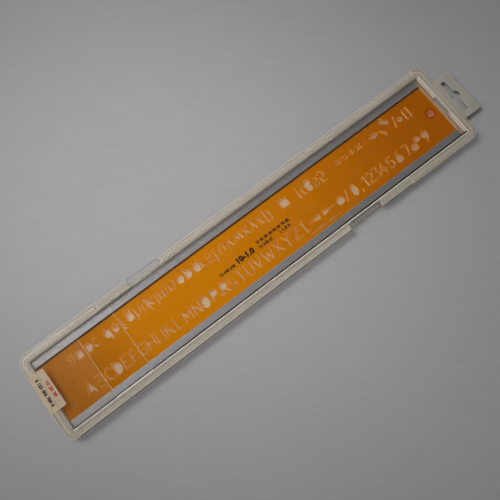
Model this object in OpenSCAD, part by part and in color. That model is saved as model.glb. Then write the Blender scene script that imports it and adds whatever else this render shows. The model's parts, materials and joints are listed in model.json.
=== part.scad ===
/* [Lettering plate] */
// Length of the lettering plate and of its two rails
plate_l = 378; // [340:1:420]
// Thickness of the plate
plate_t = 1.2; // [1:0.1:1.6]
// Width of the plate between its two long edges
plate_w = 53; // [50:0.5:60]
// Outer height of the capital letters' slots
letter_h = 10.2; // [8:0.1:10.6]
// Width of a letter's slot, a little over the pen's
slot_w = 1.2; // [0.8:0.1:1.4]
// Foot of the capitals, measured from the plate's middle line
caps_foot = 17.9; // [16:0.1:18.5]
// Foot of the small letters, which stand the other way up
smalls_foot = 17.1; // [15:0.1:18]
// From the plate's left end to the first letter
row_start = 25; // [15:0.5:30]
// From the last letter to the plate's right end
row_end = 23; // [20:0.5:35]
// Diameter of the hanging hole
hang_hole_d = 5.8; // [4:0.1:8]
// Width of the bevel round the hanging hole
hang_bevel = 1.4; // [0.5:0.1:2]
// From the hanging hole to the plate's right end
hang_hole_in = 7.3; // [6:0.1:12]

/* [Edge rails] */
// Width of a rail
rail_w = 6; // [5:0.1:8]
// Height of a rail
rail_h = 3.4; // [2.8:0.1:4.5]
// How deep the plate's edge sits in the rail's groove
groove_d = 2.5; // [1.5:0.1:3]

/* [Case] */
// Width of the raised rim all round
rim_w = 6.2; // [6:0.1:8]
// Radius of the case's corners
corner_r = 7; // [6.8:0.1:12]
// Thickness of the moulded walls
wall = 1.2; // [1:0.05:1.4]
// Room over the rails, under the window
headroom = 3.4; // [2.5:0.1:8]
// How far the rim stands above the window
rim_rise = 0.6; // [0.4:0.1:1]
// Room left of the plate
left_gap = 0.5; // [0.3:0.1:3]
// Room right of the plate
right_gap = 3.1; // [1:0.1:6]
// Room beyond the far rail
far_gap = 0.5; // [0.3:0.1:3]
// Room before the near rail
near_gap = 1.5; // [0.3:0.1:3]
// Height of the tray's inner wall above its floor
inner_wall_h = 4.8; // [3:0.1:5]
// Clearance between pieces that come apart
play = 0.3; // [0.2:0.05:0.4]
// How far the lid's cap stands out past the tray
cap_out = 0.8; // [0.6:0.05:1]
// Length of the cap, from the case's end to the rim notch
cap_l = 68.5; // [50:0.5:80]
// Length of a rim notch
notch_l = 62.5; // [50:0.5:70]
// Length of the raised block in a rim notch
block_l = 30.6; // [20:0.1:32]
// Length of the lid's grip tab in a rim notch
grip_l = 29; // [15:0.5:29]
// Radius of the grip tab's free corner
grip_r = 2; // [1:0.1:3]
// Width of the finger notch in the tray's right end
end_notch_w = 17; // [10:0.5:24]
// From the case's left end to the window's raised field
field_in = 45.3; // [30:0.1:60]
// Width of the raised field on the window
field_w = 32.4; // [20:0.1:40]
// How far the field stands up
field_rise = 0.2; // [0.1:0.05:0.3]

/* [Hang tab] */
// Width of the hang tab
tab_w = 41; // [38:0.5:48]
// How far the tab stands out of the case
tab_out = 19; // [17:0.5:24]
// Thickness of the tab
tab_t = 1.4; // [1:0.1:1.8]
// Radius of the tab's free corners
tab_r = 2; // [1:0.1:4]
// Extra width of the tab's head on each side, behind the wall
head_extra = 4.5; // [2:0.5:5]
// Length of the hanging slot
slot_l = 30.4; // [24:0.1:32]
// Width of the hanging slot
slot_across = 3.8; // [3:0.1:5]
// Diameter of the round in the slot's middle
slot_round_d = 8.1; // [7:0.1:9]
// From the slot's outer edge to the tab's end
slot_in = 8.5; // [7:0.1:10]

/* [Label] */
// Width of the label along the case's end
label_w = 33.2; // [20:0.1:50]
// How far the label reaches over the window
label_reach = 6.4; // [2:0.1:12]
// How far the label hangs down the case's end
label_drop = 5.6; // [2:0.1:7]
// Thickness of the label
label_t = 0.2; // [0.15:0.05:0.3]
// From the case's middle line to the label's middle
label_off = 4.3; // [-10:0.1:10]

/* [Hidden] */
$fn = 48;
eps = 0.01;

// Small sizes: gaps, steps and marks
over = 5;
snug = 0.1;
rest_gap = 0.2;
low_step = 0.7;
rim_edge = 0.4;
block_drop = 0.4;
corner_more = 1;
short_wall_gap = 3;
notch_gap = 2;
tab_up = 2.4;
mark_depth = 0.15;
pin_mark_d = 3.2;
pin_mark_in = 3.6;
pin_mark_side = 3.9;
gate_mark_d = 3;
gate_mark_left = 6.5;
gate_mark_down = 4;
fold = 0.6;

// Plan of the stencil and of the case round it
stencil_w = plate_w + 2 * (rail_w - groove_d);
room_l = plate_l + left_gap + right_gap;
room_w = stencil_w + far_gap + near_gap;
case_l = room_l + 2 * rim_w;
case_w = room_w + 2 * rim_w;
stencil_x = (left_gap - right_gap) / 2;
stencil_y = (near_gap - far_gap) / 2;

// Heights, from the face the case lies on
floor_t = wall;
rail_z = floor_t + rest_gap;
plate_z = rail_z + (rail_h - plate_t) / 2;
window_z = rail_z + rail_h + headroom;
window_top = window_z + wall;
case_h = window_top + rim_rise;
skirt_z = floor_t + play;
inner_wall_top = floor_t + inner_wall_h;

// Places across the rim, counted inward from the tray's outline
inset_wall = wall - cap_out + play;
seam = wall + play;
step_in = seam + low_step;
inner_in = rim_w - wall;
strip_in = inner_in - rim_edge;

// Places along the case
end_x = case_l / 2;
side_y = case_w / 2;
cap_x = -end_x + cap_l;
notch_x = cap_x + notch_l;
block_x = cap_x + play;
grip_x = block_x + block_l + play;
tab_z = floor_t + tab_up;
tab_end = end_x + tab_out;
slot_mid = tab_end - slot_in - slot_across / 2;

// A plate with round corners, inset from the tray's outline
module plan(inset) {
    l = case_l - 2 * inset;
    w = case_w - 2 * inset;
    r = max(corner_r - inset, 0.8);
    square([l - 2 * r, w], center = true);
    square([l, w - 2 * r], center = true);
    for (x = [-1, 1], y = [-1, 1])
        translate([x * (l / 2 - r), y * (w / 2 - r)]) circle(r);
}

// The band between two insets
module band(outer, inner) {
    difference() {
        plan(outer);
        plan(inner);
    }
}

// The same thing again, turned half round
module twice() {
    children();
    rotate(180) children();
}

// Stretches of the rim where the lid caps the tray, grown by a margin
module cap_zone(margin = 0) {
    twice() {
        translate([-end_x - over, 0]) square([cap_l + over + margin, side_y + over]);
        translate([-end_x - over, -side_y - over])
            square([corner_r + corner_more + over + margin, case_w + 2 * over]);
    }
}

// The rim notches, from the outline in to the given inset
module notch_zone(inner, margin = 0) {
    twice()
        translate([cap_x - margin, side_y - inner])
            square([notch_l + 2 * margin, inner + over]);
}

// Raised block of the tray in a rim notch
module block() {
    depth = strip_in - play;
    top = case_h - block_drop;
    difference() {
        translate([block_x, side_y - depth, 0]) cube([block_l, depth, top]);
        translate([block_x + wall, side_y - depth + wall, -eps])
            cube([block_l - 2 * wall, depth - 2 * wall, top - wall]);
    }
}

// Cross wall that closes the hollow rim beside a notch
module rim_end(x, top) {
    translate([x, side_y - inner_in - eps, floor_t - eps])
        cube([wall, inner_in - wall + 2 * eps, top - floor_t]);
}

module case_base() {
    color("#e8e0c8") difference() {
        union() {
            linear_extrude(floor_t) plan(0);
            linear_extrude(window_top) difference() {
                band(0, wall);
                cap_zone(play);
                notch_zone(2 * wall);
            }
            linear_extrude(window_z - play) intersection() {
                band(inset_wall, inset_wall + wall);
                cap_zone();
            }
            linear_extrude(inner_wall_top) band(inner_in, rim_w);
            for (turn = [0, 180]) rotate(turn) {
                block();
                rim_end(notch_x, inner_wall_top);
                rim_end(cap_x - wall - play, inner_wall_top);
            }
            translate([end_x - inner_in, -tab_w / 2 - head_extra, floor_t - eps])
                cube([inner_in - inset_wall - wall + eps, wall, tab_up + eps]);
            translate([end_x - inner_in, tab_w / 2 + head_extra - wall, floor_t - eps])
                cube([inner_in - inset_wall - wall + eps, wall, tab_up + eps]);
        }
        // The hollow of each block, open from below
        for (turn = [0, 180]) rotate(turn)
            translate([block_x + wall, side_y - strip_in + play + wall, -eps])
                cube([block_l - 2 * wall, strip_in - play - 2 * wall, floor_t + 2 * eps]);
        // The hang tab lies in a gap in the end wall
        translate([end_x - inner_in + eps, -tab_w / 2 - snug, tab_z])
            cube([inner_in, tab_w + 2 * snug, case_h]);
        // Finger notch in the inner wall
        translate([end_x - rim_w - eps, -end_notch_w / 2, floor_t])
            cube([wall + 2 * eps, end_notch_w, case_h]);
    }
}

// Grip tab of the lid, with one round corner
module grip() {
    translate([grip_x, side_y - strip_in - eps]) {
        translate([grip_r, 0]) square([grip_l - grip_r, strip_in]);
        square([grip_l, strip_in - grip_r]);
        translate([grip_r, strip_in - grip_r]) circle(grip_r);
    }
}

module case_lid() {
    color("#f2ead2", 0.4) {
        difference() {
            union() {
                // Low outer step of the rim
                translate([0, 0, window_z]) linear_extrude(wall) {
                    difference() {
                        band(seam, step_in + wall);
                        notch_zone(strip_in);
                    }
                    intersection() {
                        band(-cap_out, step_in + wall);
                        difference() {
                            cap_zone();
                            notch_zone(strip_in);
                        }
                    }
                }
                // High inner part of the rim
                translate([0, 0, case_h - wall]) linear_extrude(wall) difference() {
                    band(step_in, rim_w);
                    notch_zone(strip_in);
                }
                // Inner wall, which stands over the tray's inner wall
                translate([0, 0, inner_wall_top + play])
                    linear_extrude(case_h - inner_wall_top - play) band(inner_in, rim_w);
                // Skirt of the cap, outside the tray
                translate([0, 0, skirt_z]) linear_extrude(window_top - skirt_z) intersection() {
                    band(-cap_out, -cap_out + wall);
                    cap_zone();
                }
                // Short wall inside the tray's wall
                translate([0, 0, inner_wall_top + play])
                    linear_extrude(window_top - inner_wall_top - play - eps) difference() {
                        band(seam, seam + wall);
                        cap_zone(short_wall_gap);
                        notch_zone(strip_in, notch_gap);
                    }
                translate([0, 0, window_z]) linear_extrude(wall) plan(inner_in);
                translate([0, 0, case_h - wall]) linear_extrude(wall) twice() grip();
                // Raised field on the window
                translate([-end_x + field_in, -room_w / 2 - eps, window_top - eps])
                    cube([field_w, room_w + 2 * eps, field_rise + eps]);
            }
            // Gap in the skirt for the hang tab
            translate([end_x + cap_out - wall - eps, -tab_w / 2 - play, 0])
                cube([wall + 2 * eps, tab_w + 2 * play, tab_z + tab_t + play]);
        }
    }
}

module hang_tab() {
    head_in = inner_in - snug;
    head_out = inset_wall + wall + snug;
    round_mid = slot_mid + slot_across / 2 - 1;
    color("#d8d4c4") difference() {
        translate([0, 0, tab_z]) linear_extrude(tab_t) difference() {
            union() {
                translate([end_x - head_in, -tab_w / 2])
                    square([head_in + tab_out - tab_r, tab_w]);
                translate([end_x - head_in, -tab_w / 2 + tab_r])
                    square([head_in + tab_out, tab_w - 2 * tab_r]);
                for (y = [-1, 1])
                    translate([tab_end - tab_r, y * (tab_w / 2 - tab_r)]) circle(tab_r);
                translate([end_x - head_in, -tab_w / 2 - head_extra])
                    square([head_in - head_out, tab_w + 2 * head_extra]);
            }
            translate([slot_mid, 0]) square([slot_across, slot_l], center = true);
            translate([round_mid, 0]) circle(d = slot_round_d);
        }
        // Round marks of the mould's pins
        for (y = [-1, 1])
            translate([tab_end - pin_mark_in, y * (tab_w / 2 - pin_mark_side), tab_z + tab_t - mark_depth])
                cylinder(d = pin_mark_d, h = 1);
    }
}

// Centre lines of the letters, on a grid nine units high for capitals
cap_units = 9;
low_units = 6.3;
dip_units = 2.7;
hair = 0.01;
sharp_turn = 0.45;
unit = (letter_h - slot_w) / cap_units;
row_l = plate_l - row_start - row_end;
row_units = 330;
arc_step = 24;

function arc(cx, cy, rx, ry, a, b) =
    let (n = ceil(abs(b - a) / arc_step))
    [for (i = [0 : n]) let (t = a + (b - a) * i / n) [cx + rx * cos(t), cy + ry * sin(t)]];

// Common strokes: a bowl and an upright
function bowl(x) = arc(x, low_units / 2, 2.4, low_units / 2, 0, 345);
function upright(x, a, b) = [[x, a], [x, b]];

// Each letter: its name, its width, its open strokes and its closed shapes
LETTERS = [
    ["A", 6.4, [[[0, 0], [3.2, cap_units]], [[3.2, cap_units], [6.4, 0]]],
        [[[0.9, 2.4], [3.1, 8.6], [3.3, 8.6], [5.5, 2.4]]]],
    ["B", 5, [concat([[0, cap_units]], arc(2.9, 6.8, 2, 2.2, 90, -90), [[0.8, 4.6]]),
        concat([[0.8, 4.6]], arc(2.8, 2.3, 2.3, 2.3, 90, -90), [[0, 0]])], []],
    ["C", 5.4, [arc(3, 4.5, 3, 4.5, 45, 315)], []],
    ["D", 5.6, [], [concat([[0, 0], [0, cap_units]], arc(2, 4.5, 3.6, 4.5, 90, -90))]],
    ["E", 4.8, [[[4.8, cap_units], [0, cap_units], [0, 0], [4.8, 0]], [[0, 4.7], [4.1, 4.7]]], []],
    ["F", 4.6, [[[4.6, cap_units], [0, cap_units], [0, 0]], [[0, 4.7], [3.9, 4.7]]], []],
    ["G", 5.8, [concat(arc(3, 4.5, 3, 4.5, 48, 330), [[5.8, 4.2], [3.6, 4.2]])], []],
    ["H", 5.6, [upright(0, 0, cap_units), upright(5.6, 0, cap_units), [[0, 4.7], [5.6, 4.7]]], []],
    ["I", 0, [upright(0, 0, cap_units)], []],
    ["J", 3.2, [concat([[3.2, cap_units]], arc(1.6, 1.8, 1.6, 1.8, 0, -150))], []],
    ["K", 5.6, [upright(0, 0, cap_units), [[5.2, cap_units], [0, 3.4]], [[1.9, 5.4], [5.6, 0]]], []],
    ["L", 4.4, [[[0, cap_units], [0, 0], [4.4, 0]]], []],
    ["M", 6.6, [[[0, 0], [0, cap_units], [3.3, 3], [6.6, cap_units], [6.6, 0]]], []],
    ["N", 5.6, [[[0, 0], [0, cap_units], [5.6, 0], [5.6, cap_units]]], []],
    ["O", 6, [], [arc(3, 4.5, 3, 4.5, 0, 336)]],
    ["P", 5, [upright(0, 0, cap_units)],
        [concat([[0, 4.2], [0, cap_units]], arc(2.6, 6.6, 2.4, 2.4, 90, -90))]],
    ["Q", 2.6, [[[0, 2.6], [2.6, -0.2]]], []],
    ["R", 5.4, [upright(0, 0, cap_units), [[2.4, 4.2], [5.4, 0]]],
        [concat([[0, 4.2], [0, cap_units]], arc(2.6, 6.6, 2.4, 2.4, 90, -90))]],
    ["S", 5, [concat(arc(2.5, 6.75, 2.4, 2.25, 35, 270), arc(2.5, 2.25, 2.5, 2.25, 60, -145))], []],
    ["T", 5.6, [[[0, cap_units], [5.6, cap_units]], upright(2.8, 0, cap_units)], []],
    ["U", 5.4, [concat([[0, cap_units]], arc(2.7, 2.7, 2.7, 2.7, 180, 360), [[5.4, cap_units]])], []],
    ["V", 6, [[[0, cap_units], [3, 0], [6, cap_units]]], []],
    ["W", 8.6, [[[0, cap_units], [2.1, 0], [4.3, 6.6], [6.5, 0], [8.6, cap_units]]], []],
    ["X", 6, [[[0, 0], [6, cap_units]], [[0, cap_units], [6, 0]]], []],
    ["Y", 6, [[[0, cap_units], [3, 4.4], [6, cap_units]], upright(3, 0, 4.4)], []],
    ["Z", 5.4, [[[0, cap_units], [5.4, cap_units], [0, 0], [5.4, 0]]], []],
    ["serif", 3, [upright(1.5, 0, cap_units), [[0, 0], [3, 0]], [[0, cap_units], [3, cap_units]]], []],
    ["dots", 3, [[[0, 0], [0.2, 0]], [[2.8, 0], [3, 0]]], []],
    ["wedge", 8.4, [], [[[0, 0], [8.4, 1.5], [8.4, -1.5]]]],
    ["wedge_back", 8.4, [], [[[8.4, 0], [0, 1.5], [0, -1.5]]]],
    ["half", 7, [], [[[0, 0], [7, 1], [7, 0]]]],
    ["half_back", 7, [], [[[7, 0], [0, 1], [0, 0]]]],
    ["round", 6, [], [arc(3, 4.5, 3, 3, 0, 345)]],
    ["percent", 3.6, [[[0, 0], [3.6, cap_units]]], []],
    ["ring", 3.4, [], [arc(1.7, 1.7, 1.7, 1.7, 0, 330)]],
    ["0", 4.4, [], [arc(2.2, 4.5, 2.2, 4.5, 0, 336)]],
    ["comma", 0.7, [[[0.7, 0.6], [0, -1.2]]], []],
    ["1", 2.4, [[[0, 6.6], [2.4, cap_units], [2.4, 0]]], []],
    ["2", 4.8, [concat(arc(2.4, 6.7, 2.3, 2.3, 165, -30), [[0, 0], [4.8, 0]])], []],
    ["3", 4.8, [concat([[0, cap_units], [4.6, cap_units], [2.2, 5.4]],
        arc(2.3, 2.7, 2.5, 2.7, 90, -150))], []],
    ["4", 5, [[[2.8, cap_units], [0, 2.8], [5, 2.8]], upright(3.6, 0, 5)], []],
    ["5", 4.8, [concat([[4.6, cap_units], [0.5, cap_units], [0.3, 5]],
        arc(2.3, 2.8, 2.5, 2.8, 130, -150))], []],
    ["6", 4.8, [[[0.4, 4.4], [3.6, cap_units]]], [arc(2.4, 2.6, 2.4, 2.6, 0, 336)]],
    ["7", 4.8, [[[0, cap_units], [4.8, cap_units], [1.6, 0]]], []],
    ["8low", 5, [], [arc(2.5, 2.5, 2.5, 2.5, 0, 336)]],
    ["8top", 4, [], [arc(2, 7, 2, 2, 0, 336)]],
    ["9", 4.8, [[[4.5, 4.8], [1.2, 0]]], [arc(2.4, 6.4, 2.4, 2.6, 0, 336)]],
    ["a", 4.4, [concat([[0.4, 5.4]], arc(2.3, 4.3, 2, 2, 130, 0), [[4.3, 0]]),
        arc(2, 1.6, 2, 1.6, 50, 290)], []],
    ["a2", 4.8, [upright(4.8, 0, low_units)], [bowl(2.4)]],
    ["b", 4.8, [upright(0, 0, cap_units)], [bowl(2.4)]],
    ["c", 4.2, [arc(2.4, low_units / 2, 2.4, low_units / 2, 48, 312)], []],
    ["d", 4.8, [upright(4.8, 0, cap_units)], [bowl(2.4)]],
    ["e", 4.8, [arc(2.4, low_units / 2, 2.4, low_units / 2, 180, 315)],
        [concat(arc(2.4, low_units / 2, 2.4, low_units / 2, 0, 180), [[0, 3]])]],
    ["f", 3, [concat([[1, 0]], arc(2.6, 7.4, 1.6, 1.6, 180, 80)), [[0, low_units], [2.6, low_units]]], []],
    ["g", 4.8, [concat([[4.8, low_units]], arc(2.4, -0.6, 2.4, 2.1, 0, -150))], [bowl(2.4)]],
    ["h", 4.4, [upright(0, 0, cap_units), concat(arc(2.2, 4.1, 2.2, 2.2, 180, 0), [[4.4, 0]])], []],
    ["i", 0, [upright(0, 0, low_units), [[0, 8.5], [0, 8.7]]], []],
    ["j", 1.6, [concat([[1.6, low_units]], arc(0.2, -1.4, 1.4, 1.3, 0, -110))], []],
    ["k", 4.2, [upright(0, 0, cap_units), [[3.9, low_units], [0, 2.5]], [[1.5, 3.9], [4.2, 0]]], []],
    ["l", 0, [upright(0, 0, cap_units)], []],
    ["m", 7.2, [upright(0, 0, low_units), concat(arc(1.8, 4.5, 1.8, 1.8, 180, 0), [[3.6, 0]]),
        concat(arc(5.4, 4.5, 1.8, 1.8, 180, 0), [[7.2, 0]])], []],
    ["n", 4.4, [upright(0, 0, low_units), concat(arc(2.2, 4.1, 2.2, 2.2, 180, 0), [[4.4, 0]])], []],
    ["o", 4.8, [], [bowl(2.4)]],
    ["p", 4.8, [upright(0, -dip_units, low_units)], [bowl(2.4)]],
    ["q", 4.8, [upright(4.8, -dip_units, low_units)], [bowl(2.4)]],
    ["r", 3, [upright(0, 0, low_units), arc(2.2, 4.1, 2.2, 2.2, 180, 70)], []],
    ["s", 4, [concat(arc(2, 4.75, 1.9, 1.55, 35, 270), arc(2, 1.6, 2, 1.6, 60, -145))], []],
    ["t", 3, [concat([[1, cap_units]], arc(2.6, 1.6, 1.6, 1.6, 180, 280)),
        [[0, low_units], [2.8, low_units]]], []],
    ["u", 4.4, [concat([[0, low_units]], arc(2.2, 2.2, 2.2, 2.2, 180, 360), [[4.4, low_units]]),
        upright(4.4, 0, 2)], []],
    ["v", 4.4, [[[0, low_units], [2.2, 0], [4.4, low_units]]], []],
    ["w", 6.8, [[[0, low_units], [1.7, 0], [3.4, 4.8], [5.1, 0], [6.8, low_units]]], []],
    ["x", 4.6, [[[0, 0], [4.6, low_units]], [[0, low_units], [4.6, 0]]], []],
    ["y", 4.6, [[[0, low_units], [2.3, 0]], [[4.6, low_units], [1.3, -dip_units]]], []],
    ["z", 4.2, [[[0, low_units], [4.2, low_units], [0, 0], [4.2, 0]]], []],
    ["sharp", 4.6, [concat([[0, -dip_units]], arc(2.1, 6.9, 2.1, 2.1, 180, -60),
        arc(2.3, 2.4, 2.3, 2.4, 80, -110))], []],
    ["square", 6.3, [], [[[0, 0], [6.3, 0], [6.3, low_units], [0, low_units]]]],
    ["paren", 1.4, [arc(4.6, 4.5, 4.6, 5, 125, 235)], []],
    ["exclaim", 0, [upright(0, 2.4, cap_units), [[0, 0], [0, 0.2]]], []],
    ["section", 4, [concat(arc(2, 6.9, 1.9, 1.6, 35, 270), arc(2, 3.7, 2, 1.6, 60, -100))], []],
    ["plus", 4, [[[0, 3.2], [4, 3.2]], upright(2, 1.2, 5.2)], []],
    ["equals", 4, [[[0, 2.2], [4, 2.2]], [[0, 4.6], [4, 4.6]]], []],
    ["times", 3.6, [[[0, 1.4], [3.6, 5]], [[0, 5], [3.6, 1.4]]], []],
    ["point", 0.2, [[[0, 3.2], [0.2, 3.2]]], []],
    ["diamond", 8, [], [[[0, 3.2], [4, 5], [8, 3.2], [4, 1.4]]]],
    ["open4", 3, [[[3, cap_units], [0, 3.4]], [[3, cap_units], [3, 4.6]]], []],
    ["backslash", 3.2, [[[0, cap_units], [3.2, 0.6]]], []],
    ["bracket", 1.2, [[[1.2, cap_units], [0, cap_units], [0, 0], [1.2, 0]]], []],
    ["bracket_back", 1.2, [[[0, cap_units], [1.2, cap_units], [1.2, 0], [0, 0]]], []],
];

// Rows: each letter's name, the place of its middle along the row, and any lift from the row's foot
CAPITALS = [
    ["A", 0], ["B", 10], ["C", 17.5], ["D", 25], ["E", 32.5], ["F", 40], ["G", 48], ["H", 56],
    ["I", 61], ["J", 65.5], ["K", 72.5], ["L", 81], ["M", 90], ["N", 99], ["O", 107], ["dots", 107, 11.4],
    ["P", 116], ["Q", 121], ["R", 125.5], ["S", 132.5], ["T", 141], ["U", 149.5], ["V", 158],
    ["W", 168], ["X", 178], ["Y", 187], ["Z", 196], ["serif", 204],
    ["wedge", 215, 4.6], ["wedge_back", 227.5, 4.6], ["half", 215, -3.4], ["half_back", 227.5, -3.4],
    ["round", 240.5], ["percent", 247], ["0", 255], ["comma", 260.5], ["1", 265.5], ["2", 271.5],
    ["3", 278], ["4", 284.5], ["5", 292.5], ["6", 300.5], ["7", 309.5], ["8low", 316.5], ["8top", 322],
    ["9", 329.5]
];
SMALLS = [
    ["a", 0], ["a2", 7], ["b", 16], ["c", 22.5], ["d", 33], ["e", 40.5], ["f", 47], ["g", 54],
    ["h", 61.5], ["i", 66], ["j", 69], ["k", 73.5], ["l", 78.5], ["m", 85], ["n", 93.5], ["o", 102],
    ["p", 109.5], ["q", 117.5], ["r", 123.5], ["s", 129.5], ["t", 135.5], ["u", 142], ["v", 149.5],
    ["w", 158], ["x", 166], ["y", 173], ["z", 180], ["sharp", 187.5], ["square", 204],
    ["exclaim", 217.5], ["paren", 222], ["8low", 228, -0.8], ["8top", 228, -0.8], ["section", 235],
    ["5", 241.5], ["equals", 259], ["equals", 266], ["plus", 273.5], ["times", 281], ["point", 287.5],
    ["diamond", 296.5], ["open4", 304.5], ["ring", 312, -1.6], ["ring", 309, -4.6],
    ["backslash", 317.5], ["ring", 322.5, 3.4], ["bracket", 328.5], ["bracket_back", 332]
];

function heading(a, b) = (b - a) / norm(b - a);
function left(d) = [-d[1], d[0]];

// Sideways step at a point of a centre line, halfway between the headings before and after it
function mitre(line, i) =
    let (ahead = heading(line[max(i, 1) - 1], line[max(i, 1)]))
    let (next = i < 1 || i > len(line) - 2 ? ahead : heading(line[i], line[i + 1]))
    (left(ahead) + left(next)) / (1 + ahead * next);

// Half of an octagon round the end of a stroke
function end_round(p, d, r) = [for (t = [45, 90, 135]) p + r * (cos(t) * left(d) + sin(t) * d)];

// Outline of a stroke: up its left side, round its end, down its right side, round its start
function outline(line, r) =
    let (last = len(line) - 1)
    concat(
        [for (i = [0 : last]) line[i] + r * mitre(line, i)],
        end_round(line[last], heading(line[last - 1], line[last]), r),
        [for (i = [last : -1 : 0]) line[i] - r * mitre(line, i)],
        end_round(line[0], heading(line[1], line[0]), r)
    );

// An open stroke, parted at its sharp corners
module stroke(line) {
    last = len(line) - 1;
    corners = [for (i = [1 : 1 : last - 1])
        if (heading(line[i - 1], line[i]) * heading(line[i], line[i + 1]) < sharp_turn) i];
    ends = concat([0], corners, [last]);
    for (k = [0 : len(ends) - 2])
        polygon(outline([for (i = [ends[k] : ends[k + 1]]) line[i]], slot_w / 2 - hair));
}

module letter(name) {
    found = [for (l = LETTERS) if (l[0] == name) l][0];
    translate([-unit * found[1] / 2, 0]) {
        for (line = found[2]) stroke(unit * line);
        for (shape = found[3]) offset(delta = slot_w / 2 - hair) polygon(unit * shape);
    }
}

// A row of slots, widened by a hair so that strokes that touch run together
module slots(entries, foot) {
    offset(delta = hair) for (e = entries)
        translate([
            -plate_l / 2 + row_start + e[1] * row_l / row_units,
            slot_w / 2 - foot + (len(e) > 2 ? unit * e[2] : 0)
        ]) letter(e[0]);
}

// Outline of the plate: capitals upright, small letters the other way up
module plate_outline() {
    difference() {
        square([plate_l, plate_w], center = true);
        slots(CAPITALS, caps_foot);
        mirror([0, 1]) slots(SMALLS, smalls_foot);
    }
}

module stencil_plate() {
    hole_x = plate_l / 2 - hang_hole_in;
    bevel_h = plate_t / 4;
    color("#e07b00", 0.8) translate([stencil_x, stencil_y, plate_z]) difference() {
        linear_extrude(plate_t) plate_outline();
        translate([hole_x, 0, -1]) cylinder(d = hang_hole_d, h = plate_t + 2);
        translate([hole_x, 0, plate_t - bevel_h])
            cylinder(d1 = hang_hole_d, d2 = hang_hole_d + 2 * hang_bevel, h = bevel_h + eps);
        // Mark of the mould's gate
        translate([-plate_l / 2 + row_start - gate_mark_left, -gate_mark_down, plate_t - mark_depth])
            cylinder(d = gate_mark_d, h = 1);
    }
}

// Rail of H section, with the plate's edge in its inner groove
module rail() {
    translate([-plate_l / 2, 0, 0]) rotate([90, 0, 90]) linear_extrude(plate_l) difference() {
        square([rail_w, rail_h]);
        for (y = [-eps, rail_w - groove_d])
            translate([y, (rail_h - plate_t) / 2]) square([groove_d + eps, plate_t]);
    }
}

module upper_rail() {
    color("#9aa0aa") translate([stencil_x, stencil_y + stencil_w / 2 - rail_w, rail_z]) rail();
}

module lower_rail() {
    color("#9aa0aa") translate([stencil_x, stencil_y - stencil_w / 2, rail_z]) rail();
}

// Label folded over the lid's left end: down the end, over the step and the rim, onto the window
module label() {
    x0 = -end_x - cap_out;
    x1 = -end_x + step_in;
    x2 = -end_x + rim_w;
    x3 = x2 + label_reach;
    top = case_h;
    low_top = window_top;
    color("#d8c8a0") translate([0, label_off + label_w / 2, 0]) rotate([90, 0, 0])
        linear_extrude(label_w) polygon([
            [x0, low_top - label_drop], [x0, low_top], [x1, low_top], [x1, top], [x2, top], [x2, low_top],
            [x3, low_top], [x3, low_top + label_t], [x2 + label_t + fold, low_top + label_t],
            [x2 + label_t, top + label_t], [x1 - label_t, top + label_t],
            [x1 - label_t - fold, low_top + label_t], [x0 - label_t, low_top + label_t],
            [x0 - label_t, low_top - label_drop]
        ]);
}

case_base();
case_lid();
hang_tab();
stencil_plate();
upper_rail();
lower_rail();
label();
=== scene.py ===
"""The looks of a lettering stencil in its flat clear case: plate, rails, case, hang tab, label and stage."""
import json
import math

import bmesh
import bpy
from bpy.props import FloatProperty, FloatVectorProperty, PointerProperty
from mathutils import Matrix, Vector


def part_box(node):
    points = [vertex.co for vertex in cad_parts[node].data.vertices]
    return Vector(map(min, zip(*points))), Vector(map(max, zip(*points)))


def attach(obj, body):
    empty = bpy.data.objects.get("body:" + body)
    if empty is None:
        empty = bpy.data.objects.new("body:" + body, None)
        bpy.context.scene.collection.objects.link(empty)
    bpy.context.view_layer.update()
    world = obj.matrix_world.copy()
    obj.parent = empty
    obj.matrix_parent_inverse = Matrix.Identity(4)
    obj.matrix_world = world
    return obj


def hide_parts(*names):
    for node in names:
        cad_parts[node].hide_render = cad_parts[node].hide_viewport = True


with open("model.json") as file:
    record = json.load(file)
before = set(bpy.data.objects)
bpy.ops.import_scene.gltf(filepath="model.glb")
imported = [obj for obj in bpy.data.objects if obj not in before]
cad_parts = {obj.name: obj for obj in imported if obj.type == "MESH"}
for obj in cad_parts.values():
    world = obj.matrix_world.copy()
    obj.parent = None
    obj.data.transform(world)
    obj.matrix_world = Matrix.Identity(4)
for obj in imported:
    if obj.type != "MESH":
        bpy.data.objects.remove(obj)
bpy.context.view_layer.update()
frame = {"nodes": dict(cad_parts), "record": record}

bl_info = {
    "name": "Lettering Stencil",
    "version": (1, 0, 0),
    "blender": (4, 5, 0),
    "location": "3D View > Sidebar > Stencil",
    "description": "Dresses a lettering stencil and its case with rounded edges, worn plastics, metal and paper",
    "category": "Object",
}


# Settings: sizes in metres, colours in linear light

def colour(name, description, default):
    """A colour property with a plain default."""
    return FloatVectorProperty(
        name=name, description=description, default=default, size=3, min=0, max=1, subtype="COLOR")


def length(name, description, default):
    """A length property, in metres."""
    return FloatProperty(
        name=name, description=description, default=default, min=0, unit="LENGTH", subtype="DISTANCE", precision=5)


def share(name, description, default, top=1.0):
    """A plain share, from nothing to top."""
    return FloatProperty(name=name, description=description, default=default, min=0, max=top, subtype="FACTOR")


def power(name, description, default):
    """A lamp's power, in watts."""
    return FloatProperty(name=name, description=description, default=default, min=0, unit="POWER")


def point(name, description, default):
    """A place in the scene, in metres."""
    return FloatVectorProperty(
        name=name, description=description, default=default, subtype="TRANSLATION", unit="LENGTH")


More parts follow.
